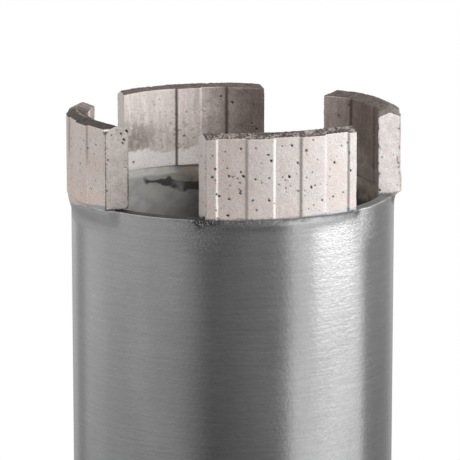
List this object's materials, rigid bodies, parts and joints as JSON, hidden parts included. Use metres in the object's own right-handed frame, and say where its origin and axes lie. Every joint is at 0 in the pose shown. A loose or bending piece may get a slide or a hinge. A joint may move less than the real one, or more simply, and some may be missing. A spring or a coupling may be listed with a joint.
{
  "type": "diamond core bit",
  "caption": "Thin-walled tubular drill with wave-section diamond segments on its rim and a threaded hexagon hub.",
  "frame": {"origin": "on the barrel's axis, at the hub's end face, which the bit stands on", "axes": "+Z along the barrel's axis, from the hub to the cutting end; the water gaps between the segments lie along X and Y"},
  "size_m": [0.0511, 0.051, 0.343],
  "materials": {
    "barrel_paint": "silver-grey metallic lacquer over a turned tube",
    "hub_paint": "silver-grey metallic lacquer over turned and milled steel",
    "sintered_segment": "matt sintered metal with fine pores"
  },
  "bodies": {
    "root": {"barrel": "barrel_paint", "hub": "hub_paint", "hub_weld": "hub_paint", "segment_front": "sintered_segment", "segment_right": "sintered_segment", "segment_back": "sintered_segment", "segment_left": "sintered_segment"}
  },
  "joints": []
}
